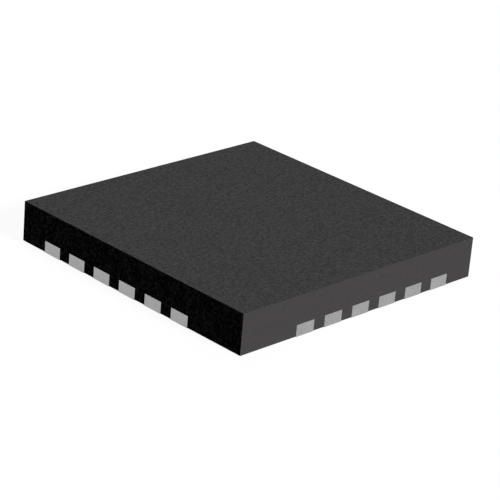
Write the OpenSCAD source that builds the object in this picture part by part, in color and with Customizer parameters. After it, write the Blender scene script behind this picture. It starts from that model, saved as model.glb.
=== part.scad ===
// Leadless square integrated circuit, moulded over an etched copper leadframe.
// Millimetres, +Z up. The origin is under the middle of the body, on the plane of the lands.
// The front and left sides are -Y and -X. Leads count from the left side's rear end,
// counter-clockwise as seen from above.

/* [Body] */
// Distance from a corner of the body to the nearest lead place, along the side
corner_margin = 0.8; // [0.76:0.01:1]
// Height of the body's top above the lands' underside
body_height = 0.75; // [0.68:0.01:0.95]
// How far the lands and the exposed pad stand proud of the compound's underside
standoff = 0.01; // [0.005:0.005:0.03]

/* [Leadframe] */
// Thickness of the copper strip
frame_thickness = 0.215; // [0.17:0.001:0.25]
// Metal that is left where the strip is etched away from below
etched_thickness = 0.1; // [0.07:0.005:0.13]

/* [Leads] */
// Places on each side, of which the one beside a land-free corner holds no lead
places_per_side = 7; // [5:2:9]
// Distance between neighbouring places
lead_pitch = 0.65; // [0.6:0.01:0.8]
// Width of a land, and of the lead's end on the body's side
lead_width = 0.4; // [0.3:0.01:0.45]
// Length of a land along the underside
land_length = 0.45; // [0.4:0.01:0.5]
// Length of the etched tongue above the land, from the body's side
tongue_length = 0.6; // [0.55:0.01:0.63]
// How far the tongue stands out beside the land, to lock the lead into the compound
shoulder_width = 0.06; // [0.03:0.005:0.08]
// Distance of the shoulders from the body's side
shoulder_setback = 0.12; // [0.08:0.01:0.2]

/* [Paddle] */
// Clear space between the tongues' inner ends and the paddle
paddle_gap = 0.35; // [0.25:0.01:0.5]
// Width of the paddle's etched rim around the exposed pad
rim_width = 0.15; // [0.1:0.01:0.2]
// Radius of the exposed pad's corners
pad_corner_radius = 0.15; // [0.05:0.01:0.25]
// Size of the cut corner of the exposed pad, which points at the first lead
index_chamfer = 0.35; // [0.25:0.01:0.5]
// Width of the necks that join the paddle to the middle lead of each side
neck_width = 0.3; // [0.2:0.01:0.4]

/* [Die] */
// Distance from the die's edge to the paddle's edge
die_margin = 0.65; // [0.5:0.01:0.8]
// Thickness of the die
die_thickness = 0.2; // [0.1:0.01:0.22]
// Thickness of the adhesive under the die
attach_thickness = 0.025; // [0.02:0.001:0.05]
// How far the adhesive spreads past the die on the paddle
attach_spread = 0.06; // [0.03:0.005:0.1]
// How far the adhesive climbs the die's sides
attach_climb = 0.05; // [0.02:0.005:0.08]
// Thickness of the adhesive's top edge against the die
attach_lip = 0.01; // [0.005:0.001:0.02]

/* [Bond wires] */
// Diameter of the wire
wire_diameter = 0.025; // [0.018:0.001:0.033]
// Diameter of the ball bond on the die
ball_diameter = 0.075; // [0.06:0.001:0.09]
// Height of the ball bond, which is pressed flat above and below
ball_height = 0.02; // [0.015:0.001:0.03]
// Distance from the ball bonds to the die's edge
ball_inset = 0.09; // [0.06:0.01:0.15]
// Distance from the die's corner to the nearest ball bond, along the edge
ball_margin = 0.25; // [0.2:0.01:0.35]
// How far the wire rises from the ball before it bends over
wire_rise = 0.06; // [0.03:0.005:0.1]
// Radius of the bend above the ball, at the wire's middle
loop_bend = 0.05; // [0.03:0.005:0.08]
// How much thinner the wire is drawn where it bends
bend_thinning = 0.001; // [0.0005:0.0001:0.0015]
// Diameter of the stitch, the pressed end of the wire on its lead
stitch_diameter = 0.08; // [0.06:0.001:0.1]
// Height of the stitch at its middle
stitch_height = 0.016; // [0.014:0.001:0.02]
// Distance from the tongue's inner end to the middle of the stitch
stitch_inset = 0.2; // [0.12:0.01:0.3]

/* [Hidden] */
$fn = 32;
last_place = places_per_side - 1;
middle_place = last_place / 2;
body_side = last_place * lead_pitch + 2 * corner_margin;
etched_underside = frame_thickness - etched_thickness;
tongue_width = lead_width + 2 * shoulder_width;

paddle_side = body_side - 2 * (tongue_length + paddle_gap);
pad_side = paddle_side - 2 * rim_width;
paddle_corner_radius = pad_corner_radius + rim_width;

die_side = paddle_side - 2 * die_margin;
die_underside = frame_thickness + attach_thickness;
die_top = die_underside + die_thickness;

ball_pitch = (die_side - 2 * ball_margin) / last_place;
ball_depth = (body_side - die_side) / 2 + ball_inset;
stitch_depth = tongue_length - stitch_inset;

// How far a cutting shape runs on past the face that it cuts through
overcut = 0.1;
// Angle by which the bend of a wire runs on into the straight wire at each end
bend_lap = 4;
// How far the wires' cavities run on into the die and the leads
sunk_end = 0.008;

// Side and place of each lead, in the order of their numbers
leads = [
    for (side = [0 : 3])
        for (place = [0 : last_place])
            if (place != (side % 2 == 0 ? last_place : 0))
                [side, place]
];
pins = [for (pin = [1 : len(leads)]) pin];
signal_pins = [for (pin = pins) if (leads[pin - 1][1] != middle_place) pin];
fused_pins = [for (pin = pins) if (leads[pin - 1][1] == middle_place) pin];

function numbered(name, pin) = str(name, pin < 10 ? "_0" : "_", pin);

// The moulded block, with a cavity that each inner piece fills
module mould_body()
{
    color("dimgray")
        difference() {
            centred_block(body_side, standoff, body_height);
            for (pin = pins)
                at_lead(pin) lead_metal(overcut);
            paddle_metal();
            attach_block();
            die_block();
            for (pin = pins)
                wire_metal(pin, sunk_end);
        }
}

// The paddle, with the middle lead of each side in one piece with it
module die_paddle()
{
    color("silver") {
        paddle_metal();
        for (pin = fused_pins)
            at_lead(pin) lead_metal();
    }
}

module lead(pin)
{
    color("silver")
        at_lead(pin) lead_metal();
}

module die_attach()
{
    color("lightgray")
        difference() {
            attach_block();
            die_block();
        }
}

module die()
{
    color("slategray") die_block();
}

module bond_wire(pin)
{
    color("gold") wire_metal(pin);
}

// A square block about the Z axis, between two heights
module centred_block(side, low, high)
{
    translate([-side / 2, -side / 2, low])
        cube([side, side, high - low]);
}

// Puts its children on a side of the body, with +X pointing inward from the side's middle
module on_side(side)
{
    rotate(90 * side)
        translate([-body_side / 2, 0, 0])
            children();
}

module at_lead(pin)
{
    on_side(leads[pin - 1][0])
        translate([0, (middle_place - leads[pin - 1][1]) * lead_pitch, 0])
            children();
}

// The land at full thickness, and the etched tongue with its shoulders
module lead_metal(past_side = 0)
{
    linear_extrude(frame_thickness)
        round_ended_strip(-past_side, land_length, lead_width);
    translate([0, 0, etched_underside])
        linear_extrude(etched_thickness)
            round_ended_strip(shoulder_setback, tongue_length, tongue_width);
}

// A strip along +X whose far end is a half circle
module round_ended_strip(start, end, width)
{
    translate([start, -width / 2])
        square([end - width / 2 - start, width]);
    translate([end - width / 2, 0])
        circle(d = width);
}

// The exposed pad at full thickness, the etched rim around it and the four necks
module paddle_metal()
{
    linear_extrude(frame_thickness)
        difference() {
            rounded_square(pad_side, pad_corner_radius);
            translate([-pad_side / 2, pad_side / 2])
                rotate(45)
                    square(index_chamfer * sqrt(2), center = true);
        }
    translate([0, 0, etched_underside])
        linear_extrude(etched_thickness) {
            rounded_square(paddle_side, paddle_corner_radius);
            for (side = [0 : 3])
                on_side(side)
                    translate([land_length - lead_width / 2, -neck_width / 2])
                        square([body_side / 2 - land_length + lead_width / 2, neck_width]);
        }
}

module rounded_square(side, radius)
{
    square([side, side - 2 * radius], center = true);
    square([side - 2 * radius, side], center = true);
    for (corner = [0 : 3])
        rotate(90 * corner)
            translate([side / 2 - radius, side / 2 - radius])
                circle(radius);
}

module die_block()
{
    centred_block(die_side, die_underside, die_top);
}

// The adhesive with the die's place filled: it spreads on the paddle and climbs the die
module attach_block()
{
    skirt = die_side + 2 * attach_spread;
    lip = die_side + 2 * attach_lip;
    hull() {
        centred_block(skirt, frame_thickness, die_underside);
        centred_block(lip, frame_thickness, die_underside + attach_climb);
    }
}

// One wire from its ball bond on the die to its stitch on the lead
module wire_metal(pin, sunk = 0)
{
    places_off_middle = middle_place - leads[pin - 1][1];
    ball = [ball_depth, places_off_middle * ball_pitch];
    stitch = [stitch_depth, places_off_middle * lead_pitch];
    run = stitch - ball;
    on_side(leads[pin - 1][0])
        translate(ball)
            rotate(atan2(run.y, run.x))
                wire_loop(norm(run), sunk);
}

// A wire that rises from a ball at the origin, bends over and runs down to its stitch.
// The straight stretch leaves the bend at a tangent and aims at the stitch's middle.
module wire_loop(run, sunk)
{
    bend_centre = [loop_bend, die_top + ball_height + wire_rise];
    stitch = [run, frame_thickness];
    across = stitch - bend_centre;
    slope = atan2(-across.y, across.x) + asin(loop_bend / norm(across));
    stretch_start = bend_centre + loop_bend * [sin(slope), cos(slope)];

    translate([0, 0, die_top])
        ball_bond(sunk);
    translate([0, 0, die_top + ball_height / 2])
        cylinder(h = ball_height / 2 + wire_rise, d = wire_diameter);
    translate([bend_centre.x, 0, bend_centre.y])
        rotate([90, 0, 0])
            rotate(90 - slope - bend_lap)
                rotate_extrude(angle = 90 + slope + 2 * bend_lap)
                    translate([loop_bend, 0])
                        circle(d = wire_diameter - bend_thinning);
    on_lead(run, sunk)
        translate([stretch_start.x, 0, stretch_start.y])
            rotate([0, 90 + slope, 0])
                cylinder(h = norm(stitch - stretch_start), d = wire_diameter);
    on_lead(run, sunk)
        translate([run, 0, frame_thickness])
            stitch_lens();
}

// Keeps what lies above the lead's upper face, where the wire and its stitch are pressed flat
module on_lead(run, sunk)
{
    intersection() {
        children();
        translate([0, -stitch_diameter, frame_thickness - sunk])
            cube([run + stitch_diameter, 2 * stitch_diameter, body_height]);
    }
}

// A ball pressed flat, standing on the origin
module ball_bond(sunk)
{
    intersection() {
        translate([0, 0, ball_height / 2])
            sphere(d = ball_diameter);
        translate([0, 0, -sunk])
            cylinder(h = ball_height + sunk, d = ball_diameter + wire_diameter);
    }
}

// A ball whose cap rises to the stitch's height above the origin, and spans its diameter there
module stitch_lens()
{
    cap_radius = (pow(stitch_diameter / 2, 2) + pow(stitch_height, 2)) / (2 * stitch_height);
    translate([0, 0, stitch_height - cap_radius])
        sphere(cap_radius);
}

mould_body();
die_paddle();
die_attach();
die();
for (pin = signal_pins)
    lead(pin);
for (pin = pins)
    bond_wire(pin);
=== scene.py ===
# %% [markdown]
# # A leadless integrated circuit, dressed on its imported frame
# The real part is a square chip package 5.5 mm wide and 0.75 mm high. A silicon die sits on a copper
# paddle, gold wires run from the die to twenty-four leads, and black epoxy is moulded over all of it.
# The leads end flush with the body's sides, and show again as flat lands on the underside.
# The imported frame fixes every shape, so this lesson is about light and surface. It sets up the camera,
# the floor and the lamps, and then gives each kind of piece its finish.

# %% Load the frame
from math import cos, pi, radians, sin

import bpy
from mathutils import Matrix, Vector


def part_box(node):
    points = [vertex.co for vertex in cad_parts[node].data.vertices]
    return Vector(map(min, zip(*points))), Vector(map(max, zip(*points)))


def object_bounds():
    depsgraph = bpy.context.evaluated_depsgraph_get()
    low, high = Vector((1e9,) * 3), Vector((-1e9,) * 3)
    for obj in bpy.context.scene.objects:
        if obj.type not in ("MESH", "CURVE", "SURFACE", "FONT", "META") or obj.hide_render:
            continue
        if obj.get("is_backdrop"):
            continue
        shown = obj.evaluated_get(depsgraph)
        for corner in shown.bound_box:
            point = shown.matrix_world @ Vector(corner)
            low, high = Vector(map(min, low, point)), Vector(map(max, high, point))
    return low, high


MM = 0.001
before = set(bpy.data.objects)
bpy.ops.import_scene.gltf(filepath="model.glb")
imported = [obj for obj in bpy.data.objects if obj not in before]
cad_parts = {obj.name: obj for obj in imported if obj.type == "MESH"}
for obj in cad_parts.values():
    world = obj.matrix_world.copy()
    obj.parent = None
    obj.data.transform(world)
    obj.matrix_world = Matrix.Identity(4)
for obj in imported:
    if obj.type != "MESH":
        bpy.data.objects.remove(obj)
cad_low, cad_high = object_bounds()
scene = bpy.context.scene
print("nodes:", len(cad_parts), "box in mm:", [round(v / MM, 3) for v in cad_high - cad_low])

# %% [markdown]
# Some finishes change at a set place on the part: tin ends where the compound begins, and pads lie
# along the die's edge. Such places could be typed in, but then they would be wrong as soon as the
# part's source changes. So the few heights and widths that matter are measured on the frame's nodes.

# %% Measure the frame
def box_in_mm(node):
    """The least and the greatest corner of a node of the frame, in millimetres."""
    low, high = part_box(node)
    return low / MM, high / MM


body_low, body_high = box_in_mm("mould_body")
strip_top = box_in_mm("lead_01")[1].z
die_high = box_in_mm("die")[1]
heights = body_high.z, strip_top, die_high.z
print("tops of body, strip and die in mm:", [round(v, 3) for v in heights])

# %% [markdown]
# A finish is a graph of nodes, and sums are hard to read as nodes. So one class wraps an output socket
# and gives it Python's own signs: `1 - mask` then adds a Math node and still reads as what it means.
# `<` and `>` make masks, and `|` and `&` join masks by taking the larger or the smaller.

# %% A socket that can be used in sums
class Signal:
    """An output of a node. A sum on it adds Math nodes to the same graph."""

    def __init__(self, graph, socket):
        self.graph = graph
        self.socket = socket

    def output(self, name):
        """Another output of the same node."""
        return Signal(self.graph, self.socket.node.outputs[name])

    def maths(self, operation, first, second=0.0):
        """A Math node on two numbers, each of them a signal or a plain value."""
        return self.graph.add("ShaderNodeMath", {"operation": operation}, {0: first, 1: second})

    def __add__(self, other):
        return self.maths("ADD", self, other)

    def __radd__(self, other):
        return self.maths("ADD", other, self)

    def __sub__(self, other):
        return self.maths("SUBTRACT", self, other)

    def __rsub__(self, other):
        return self.maths("SUBTRACT", other, self)

    def __mul__(self, other):
        return self.maths("MULTIPLY", self, other)

    def __rmul__(self, other):
        return self.maths("MULTIPLY", other, self)

    def __lt__(self, other):
        return self.maths("LESS_THAN", self, other)

    def __gt__(self, other):
        return self.maths("GREATER_THAN", self, other)

    def __or__(self, other):
        return self.maths("MAXIMUM", self, other)

    def __ror__(self, other):
        return self.maths("MAXIMUM", other, self)

    def __and__(self, other):
        return self.maths("MINIMUM", self, other)

    def __rand__(self, other):
        return self.maths("MINIMUM", other, self)

    def __abs__(self):
        return self.maths("ABSOLUTE", self)


print("a Signal takes the signs + - * < > | & and abs()")

# %% [markdown]
# Its partner wraps the node tree. `add` is the only way a node gets in: it takes the node's type, then
# its settings, which can change what sockets it has, and then the values or links of its sockets.
# Colours don't go through Math nodes, which would turn them grey, but through Mix and Vector Math.

# %% A graph that takes any node
class Graph:
    """A node tree, empty at first."""

    def __init__(self, tree):
        self.tree = tree
        self.tree.nodes.clear()

    def add(self, kind, settings=None, sockets=None, output=0):
        """A new node, as the signal of one of its outputs if it has any."""
        node = self.tree.nodes.new(kind)
        for name, value in (settings or {}).items():
            setattr(node, name, value)
        for name, value in (sockets or {}).items():
            if isinstance(value, Signal):
                self.tree.links.new(value.socket, node.inputs[name])
            else:
                node.inputs[name].default_value = value
        return Signal(self, node.outputs[output]) if node.outputs else None

    def mix(self, mask, low, high):
        """The colour low where the mask is 0, and high where it is 1."""
        return self.add("ShaderNodeMix", {"data_type": "RGBA"}, {0: mask, 6: low, 7: high}, 2)

    def times(self, vector, amount):
        """A colour or a vector, times a number that may vary."""
        return self.add("ShaderNodeVectorMath", {"operation": "SCALE"}, {0: vector, "Scale": amount})


def grey(level):
    """An opaque colour with three equal parts."""
    return (level, level, level, 1.0)


BLACK, WHITE = grey(0.0), grey(1.0)
print("a Graph takes nodes of any kind, mixes colours and scales vectors")

# %% [markdown]
# The photograph looks down on one corner through a long lens, so the far sides are hardly shorter than
# the near ones. A camera can be turned by eye until the picture looks right, but this one was fitted
# to the seven corners of the body that show and to the corners of the leads' ends. It is written the
# way a photographer would note it: what it aims at, its bearing, height and distance, a slight roll,
# and the focal length on a 36 mm sensor.

# %% Camera
aim = Vector((-0.295, -0.369, 0.375)) * MM
bearing, height, roll = radians(45.65), radians(23.21), radians(-4.91)
distance = 37.55 * MM

back = Vector((-sin(bearing) * cos(height), -cos(bearing) * cos(height), sin(height)))
right = Vector((0, 0, 1)).cross(back).normalized()
up = back.cross(right)
turn = Matrix((right * cos(roll) - up * sin(roll), up * cos(roll) + right * sin(roll), back))

lens = bpy.data.cameras.new("camera")
lens.sensor_width = 36.0
lens.lens = 157.6
lens.clip_start = 1 * MM
camera = bpy.data.objects.new("camera", lens)
camera.matrix_world = Matrix.Translation(aim + back * distance) @ turn.transposed().to_4x4()
scene.collection.objects.link(camera)
scene.camera = camera
print("camera at mm:", [round(v / MM, 2) for v in camera.matrix_world.translation])

# %% [markdown]
# The surround in the photograph is pure white, and the leads' metal ends mirror it, which is why they
# are equally pale on both sides. So the world is white for a ray from the camera or off a shiny
# surface. For soft light it is nearly dark, because the side away from the lamp is almost black. A
# plain white world would be simpler, but it would light that side as well.

# %% World
DUSK = 0.01


def looked_at(graph):
    """1 for a ray that comes from the camera, directly or by way of metal or glass."""
    path = graph.add("ShaderNodeLightPath")
    mirrored = path.output("Is Glossy Ray")
    return path.output("Is Camera Ray") | mirrored | path.output("Is Transmission Ray")


world = bpy.data.worlds.new("white_surround")
world.use_nodes = True
scene.world = world
scene.view_settings.view_transform = "Standard"

sky = Graph(world.node_tree)
white = sky.add("ShaderNodeBackground", sockets={"Strength": 1.0, "Color": WHITE})
dusk = sky.add("ShaderNodeBackground", sockets={"Strength": DUSK, "Color": WHITE})
both = sky.add("ShaderNodeMixShader", sockets={0: looked_at(sky), 1: dusk, 2: white})
sky.add("ShaderNodeOutputWorld", sockets={"Surface": both})
print("world:", world.name, "with", len(world.node_tree.nodes), "nodes")

# %% [markdown]
# The floor has to vanish into the white and still carry a faint shadow. Most of what the camera sees
# of it is its own glow, and the rest is a pale matt surface that the lamps light. Together they come
# to white, and only the matt share is lost in the shadow. Soft rays meet a dark floor instead, so it
# sends little light back up. From below, the floor can be looked through, to see the lands, and it
# casts no shadow, so that a lamp under it can light them.

# %% Floor
GLOW, MATT, DARK = 0.94, 0.08, 0.01
HALF, LEVEL = 400 * MM, -0.002 * MM

corners = [(-HALF, -HALF, LEVEL), (HALF, -HALF, LEVEL), (HALF, HALF, LEVEL), (-HALF, HALF, LEVEL)]
floor_mesh = bpy.data.meshes.new("floor")
floor_mesh.from_pydata(corners, [], [(0, 1, 2, 3)])
floor = bpy.data.objects.new("floor", floor_mesh)
scene.collection.objects.link(floor)
floor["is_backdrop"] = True

paper = bpy.data.materials.new("white_floor")
paper.use_nodes = True
floor_mesh.materials.append(paper)

pulp = Graph(paper.node_tree)
glow = pulp.add("ShaderNodeEmission", sockets={"Color": WHITE, "Strength": GLOW})
matt = pulp.add("ShaderNodeBsdfDiffuse", sockets={"Color": grey(MATT)})
dark = pulp.add("ShaderNodeBsdfDiffuse", sockets={"Color": grey(DARK)})
pale = pulp.add("ShaderNodeAddShader", sockets={0: glow, 1: matt})
above = pulp.add("ShaderNodeMixShader", sockets={0: looked_at(pulp), 1: dark, 2: pale})
from_below = pulp.add("ShaderNodeNewGeometry").output("Backfacing")
shadow_ray = pulp.add("ShaderNodeLightPath").output("Is Shadow Ray")
clear = pulp.add("ShaderNodeBsdfTransparent")
surface = pulp.add("ShaderNodeMixShader", sockets={0: from_below | shadow_ray, 1: above, 2: clear})
pulp.add("ShaderNodeOutputMaterial", sockets={"Surface": surface})
print("floor:", floor.name, "glow", GLOW, "matt", MATT, "dark", DARK)

# %% [markdown]
# In the photograph the right side is the brightest, the top a little darker, and the left side black.
# So the main lamp stands low, almost straight in front of the right side, and just misses the left.
# A weaker lamp behind the body lights the two sides that the photograph doesn't show, and a third
# shines up on the underside, too slantwise for the flat lands to mirror it straight down. Both are
# wide, so that no lead's end flashes white. Area lamps would do as well, but a sun's light doesn't
# depend on the scale of a scene 5 mm across.

# %% Lamps
def sun(name, bearing, height, strength, angle):
    """A sun that shines from a compass bearing, from -Y through +X, and a height, in degrees."""
    lamp = bpy.data.lights.new(name, "SUN")
    lamp.energy = strength * pi
    lamp.angle = radians(angle)
    holder = bpy.data.objects.new(name, lamp)
    a, e = radians(bearing), radians(height)
    source = Vector((sin(a) * cos(e), -cos(a) * cos(e), sin(e)))
    holder.rotation_mode = "QUATERNION"
    holder.rotation_quaternion = source.to_track_quat("Z", "Y")
    scene.collection.objects.link(holder)
    print(name, "strength", strength, "from", [round(v, 2) for v in source])


sun("key_lamp", bearing=5, height=27, strength=1.345, angle=10)
sun("rear_lamp", bearing=135, height=35, strength=0.35, angle=70)
sun("under_lamp", bearing=135, height=-50, strength=0.5, angle=70)

# %% [markdown]
# All finishes share their first steps: a place on the part in millimetres, noise at a size that is
# given as grains per millimetre, and bumps whose depth is in millimetres. Each starts from a plain
# Principled shader whose fixed values are set on its own sockets, so that they survive an export.

# %% What every finish shares
class Finish(Graph):
    """A material with one Principled shader, and the shader's sockets that stay the same all over."""

    def __init__(self, name, fixed):
        self.material = bpy.data.materials.new(name)
        self.material.use_nodes = True
        super().__init__(self.material.node_tree)
        self.place = self.times(self.add("ShaderNodeTexCoord", output="Object"), 1 / MM)
        self.fixed = fixed

    def axes(self, vector):
        """The three numbers of a vector."""
        x = self.add("ShaderNodeSeparateXYZ", sockets={0: vector})
        return x, x.output("Y"), x.output("Z")

    def noise(self, per_mm, detail=2.0, stretch=(1.0, 1.0, 1.0)):
        """Noise round 0, nearly all of it between -0.5 and 0.5."""
        spread = {"operation": "MULTIPLY"}
        place = self.add("ShaderNodeVectorMath", spread, {0: self.place, 1: stretch})
        sockets = {"Vector": place, "Scale": per_mm, "Detail": detail}
        return self.add("ShaderNodeTexNoise", {"noise_dimensions": "3D"}, sockets) - 0.5

    def bricks(self, width, height, gap, offset, squash):
        """Oblongs in the plane, black to white at random, with Fac 1 in the gaps; sizes in mm."""
        settings = {"offset": offset, "squash": squash, "squash_frequency": 3}
        sockets = {"Vector": self.place, "Color1": BLACK, "Color2": WHITE, "Scale": 1.0}
        sockets |= {"Brick Width": width, "Row Height": height, "Mortar Size": gap / 2}
        return self.add("ShaderNodeTexBrick", settings, sockets, output="Color")

    def bump(self, height, depth):
        """Normals for a height signal that stands for a depth in millimetres."""
        return self.add("ShaderNodeBump", sockets={"Height": height, "Distance": depth * MM})

    def cover(self, nodes, varying):
        """Ends the graph with its shader, and gives the material to nodes of the frame."""
        shader = self.add("ShaderNodeBsdfPrincipled", sockets={**self.fixed, **varying})
        self.add("ShaderNodeOutputMaterial", sockets={"Surface": shader})
        for node in nodes:
            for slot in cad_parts[node].material_slots:
                slot.material = self.material
        made = self.material.name, "of", len(self.tree.nodes), "shader nodes, on", len(nodes)
        print(*made, "of the frame's nodes")


def nodes_named(start):
    """The frame's nodes whose names begin so, in order."""
    return sorted(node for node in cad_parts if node.startswith(start))


LEADS, WIRES = nodes_named("lead_"), nodes_named("bond_wire_")
print("leads:", len(LEADS), "wires:", len(WIRES))

# %% [markdown]
# The body is black epoxy filled with fine silica. Its top takes a fine matt grain from the spark-eroded
# mould. Its four sides are sawn when the packages are cut apart, which leaves faint lines along the
# cut. One material can do both: a face's own normal says which kind it is. The compound is dead matt,
# so its specular level is nil. But the saw lays bare the glassy silica, whose specks mirror the white
# surround, and they alone make the dark left side lively. They are a thin coat of varying weight.

# %% Mould compound
SAWN_EPOXY, MOULDED_EPOXY = (0.0540, 0.0515, 0.0526, 1.0), grey(0.0569)

compound = Finish("black_epoxy", {"Specular IOR Level": 0.0, "Coat Roughness": 0.3})
facing = compound.add("ShaderNodeNewGeometry", output="True Normal")
upward = compound.axes(facing)[2]
moulded = abs(upward) > 0.5
sawn = 1 - moulded

grain = compound.noise(per_mm=21.0, detail=3.0)
saw_lines = compound.noise(per_mm=1.0, stretch=(1.2, 1.2, 45.0))
filler = compound.noise(per_mm=60.0, detail=1.0)
specks = (compound.noise(per_mm=22.0) * 0.28 + 0.024) | 0.0

epoxy = compound.mix(moulded, SAWN_EPOXY, MOULDED_EPOXY)
mottle = moulded * (grain * 1.8) + sawn * (saw_lines * 0.12 + filler * 0.12)
relief = moulded * grain + sawn * (grain * 3 + saw_lines * 0.25)
compound.cover(
    ["mould_body"],
    {
        "Base Color": compound.times(epoxy, 1 + mottle),
        "Roughness": 0.88 + mottle * 0.2,
        "Coat Weight": sawn * specks,
        "Normal": compound.bump(relief, depth=0.002),
    },
)

# %% [markdown]
# The leads and the paddle are etched from one copper strip, and the middle lead of each side stays in
# one piece with the paddle. After moulding, only the metal that still shows is plated with matt tin:
# the lands, the exposed pad and the leads' ends. Before it, the tips under the wires and the paddle's
# face got a spot of silver, and the rest inside the body stays bare copper. The place on the part says
# which of the three a point has, so the plating needs no pieces of its own. A point counts as on a
# face within a thin skin, because rounding would miss the face's exact place.

# %% Leadframe metal
COPPER, SILVER, TIN = (0.70, 0.36, 0.22, 1.0), (0.80, 0.79, 0.76, 1.0), grey(0.358)
LEVEL_SKIN, SIDE_SKIN, SILVER_SETBACK = 0.0002, 0.0005, 0.2

strip = Finish("plated_copper", {"Metallic": 1.0})
x, y, z = strip.axes(strip.place)
reach = abs(x) | abs(y)
tinned = (z < body_low.z + LEVEL_SKIN) | (reach > body_high.x - SIDE_SKIN)
silvered = (z > strip_top - LEVEL_SKIN) & (reach < body_high.x - SILVER_SETBACK)

crystals = strip.noise(per_mm=45.0)
smear = strip.noise(per_mm=4.0)
plating = strip.mix(tinned, strip.mix(silvered, COPPER, SILVER), TIN)
strip.cover(
    ["die_paddle", *LEADS],
    {
        "Base Color": strip.times(plating, 1 + crystals * 0.55 + smear * 0.2),
        "Roughness": 0.23 + crystals * 0.2,
        "Normal": strip.bump(crystals + smear, depth=0.0008),
    },
)

# %% [markdown]
# The die is glued down with epoxy that is full of silver flakes. It is squeezed out a little round
# the die, and would look grey with a dull glitter. Flakes are flat and have edges, so cells from a
# Voronoi texture stand for them better than noise does.

# %% Die attach
PASTE, FLAKES_PER_MM = (0.42, 0.42, 0.41), 70.0

glue = Finish("silver_filled_glue", {"Metallic": 0.5})
sockets = {"Vector": glue.place, "Scale": FLAKES_PER_MM}
cells = glue.add("ShaderNodeTexVoronoi", {"feature": "F1"}, sockets, output="Color")
flakes = glue.axes(cells)[0]
glue.cover(
    ["die_attach"],
    {
        "Base Color": glue.times(PASTE, 0.7 + flakes * 0.6),
        "Roughness": 0.35 + flakes * 0.3,
        "Normal": glue.bump(flakes, depth=0.002),
    },
)

# %% [markdown]
# The die's sides are sawn silicon, dark and slightly glossy. On its top a seal ring runs just inside
# the saw street, aluminium pads take the gold balls, and between them lie blocks of circuit under a
# glassy coat. All of it could be drawn as an image, but every pad has its place by the same sums that
# set the wires, and bricks of two sizes make the circuit, so no image is needed.

# %% The die's pads and its seal ring
SIDE = die_high.x
INSET, HALF_PAD, PITCH, MARGIN = 0.09, 0.045, 0.3, 0.2
RING_INSET, HALF_RING, TOP_SKIN = 0.025, 0.005, 0.0005

silicon = Finish("sawn_silicon", {"Coat Roughness": 0.1})
x, y, z = silicon.axes(silicon.place)
reach = abs(x) | abs(y)
top = z > die_high.z - TOP_SKIN


def pad_row(across, along):
    """A row of square pads beside the two edges that one axis meets."""
    on_row = abs(abs(across) - (SIDE - INSET)) < HALF_PAD
    in_turn = along.maths("PINGPONG", along, PITCH / 2) < HALF_PAD
    return on_row & in_turn & (abs(along) < SIDE - MARGIN)


pads = top & (pad_row(x, y) | pad_row(y, x))
ring = top & (abs(reach - (SIDE - RING_INSET)) < HALF_RING)
metal = pads | ring
print("pads", PITCH, "mm apart,", INSET, "mm from the edge of a die", round(2 * SIDE, 3), "mm wide")

# %% [markdown]
# The circuit itself is far too fine to see. What shows through a microscope is its plan: blocks in
# greyed blues and browns, ruled by rows of cells, with dark channels between them. Two brick textures
# draw that plan, one with wide bricks of uneven length and one with tiny even ones.

# %% The die's circuit and its finish
CORE = SIDE - 0.17
BLUE, BROWN, CELL = (0.10, 0.13, 0.16, 1.0), (0.23, 0.20, 0.17, 1.0), (0.34, 0.31, 0.27, 1.0)
CHANNEL, BARE, ALUMINIUM = (0.07, 0.08, 0.09, 1.0), (0.09, 0.09, 0.10, 1.0), (0.78, 0.78, 0.77, 1.0)

core = top & (reach < CORE)
blocks = silicon.bricks(width=CORE / 2, height=CORE / 3, gap=0.012, offset=0.5, squash=2.0)
rows = silicon.bricks(width=0.05, height=0.0175, gap=0.003, offset=0.0, squash=1.0)
shade = silicon.axes(blocks)[0]
circuit = silicon.mix(shade, BLUE, BROWN)
circuit = silicon.mix(rows.output("Fac") * 0.5, circuit, CELL)
circuit = silicon.mix(blocks.output("Fac"), circuit, CHANNEL)
wafer = silicon.mix(metal, silicon.mix(core, BARE, circuit), ALUMINIUM)
chipping = silicon.noise(per_mm=20.0, detail=3.0) * (1 - top)
silicon.cover(
    ["die"],
    {
        "Base Color": silicon.times(wafer, 1 + chipping * 0.3),
        "Metallic": metal,
        "Roughness": 0.3 + chipping * 0.3,
        "Coat Weight": top * (1 - pads) * 0.6,
        "Normal": silicon.bump(chipping + pads * 0.3, depth=0.003),
    },
)

# %% [markdown]
# The bond wires are drawn gold, 25 micrometres thick, with a ball squashed onto the die's pad and a
# flat stitch on the lead. Gold needs little more than its colour: faint drawing marks make the
# roughness vary, and the squashed ends are duller than the wire between them.

# %% Bond wires
GOLD = (1.0, 0.72, 0.32)
BALL, STITCH, RIM = 0.0225, 0.019, 0.03

wire = Finish("drawn_gold", {"Metallic": 1.0})
x, y, z = wire.axes(wire.place)
over_die = (abs(x) | abs(y)) < SIDE - RIM
squashed = (z < strip_top + STITCH) | (over_die & (z < die_high.z + BALL))
marks = wire.noise(per_mm=30.0)
wire.cover(
    WIRES,
    {
        "Base Color": wire.times(GOLD, 0.95 + marks * 0.2),
        "Roughness": 0.2 + squashed * 0.12 + marks * 0.15,
        "Normal": wire.bump(marks, depth=0.0006),
    },
)

# %% [markdown]
# Blender must not change the part's size. The box of the shown pieces is measured against the frame's
# own box, and the largest change between the two is printed.

# %% Size
low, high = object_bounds()
change = max(abs(v) for v in (*(low - cad_low), *(high - cad_high)))
print("largest change of the box in mm:", change / MM)
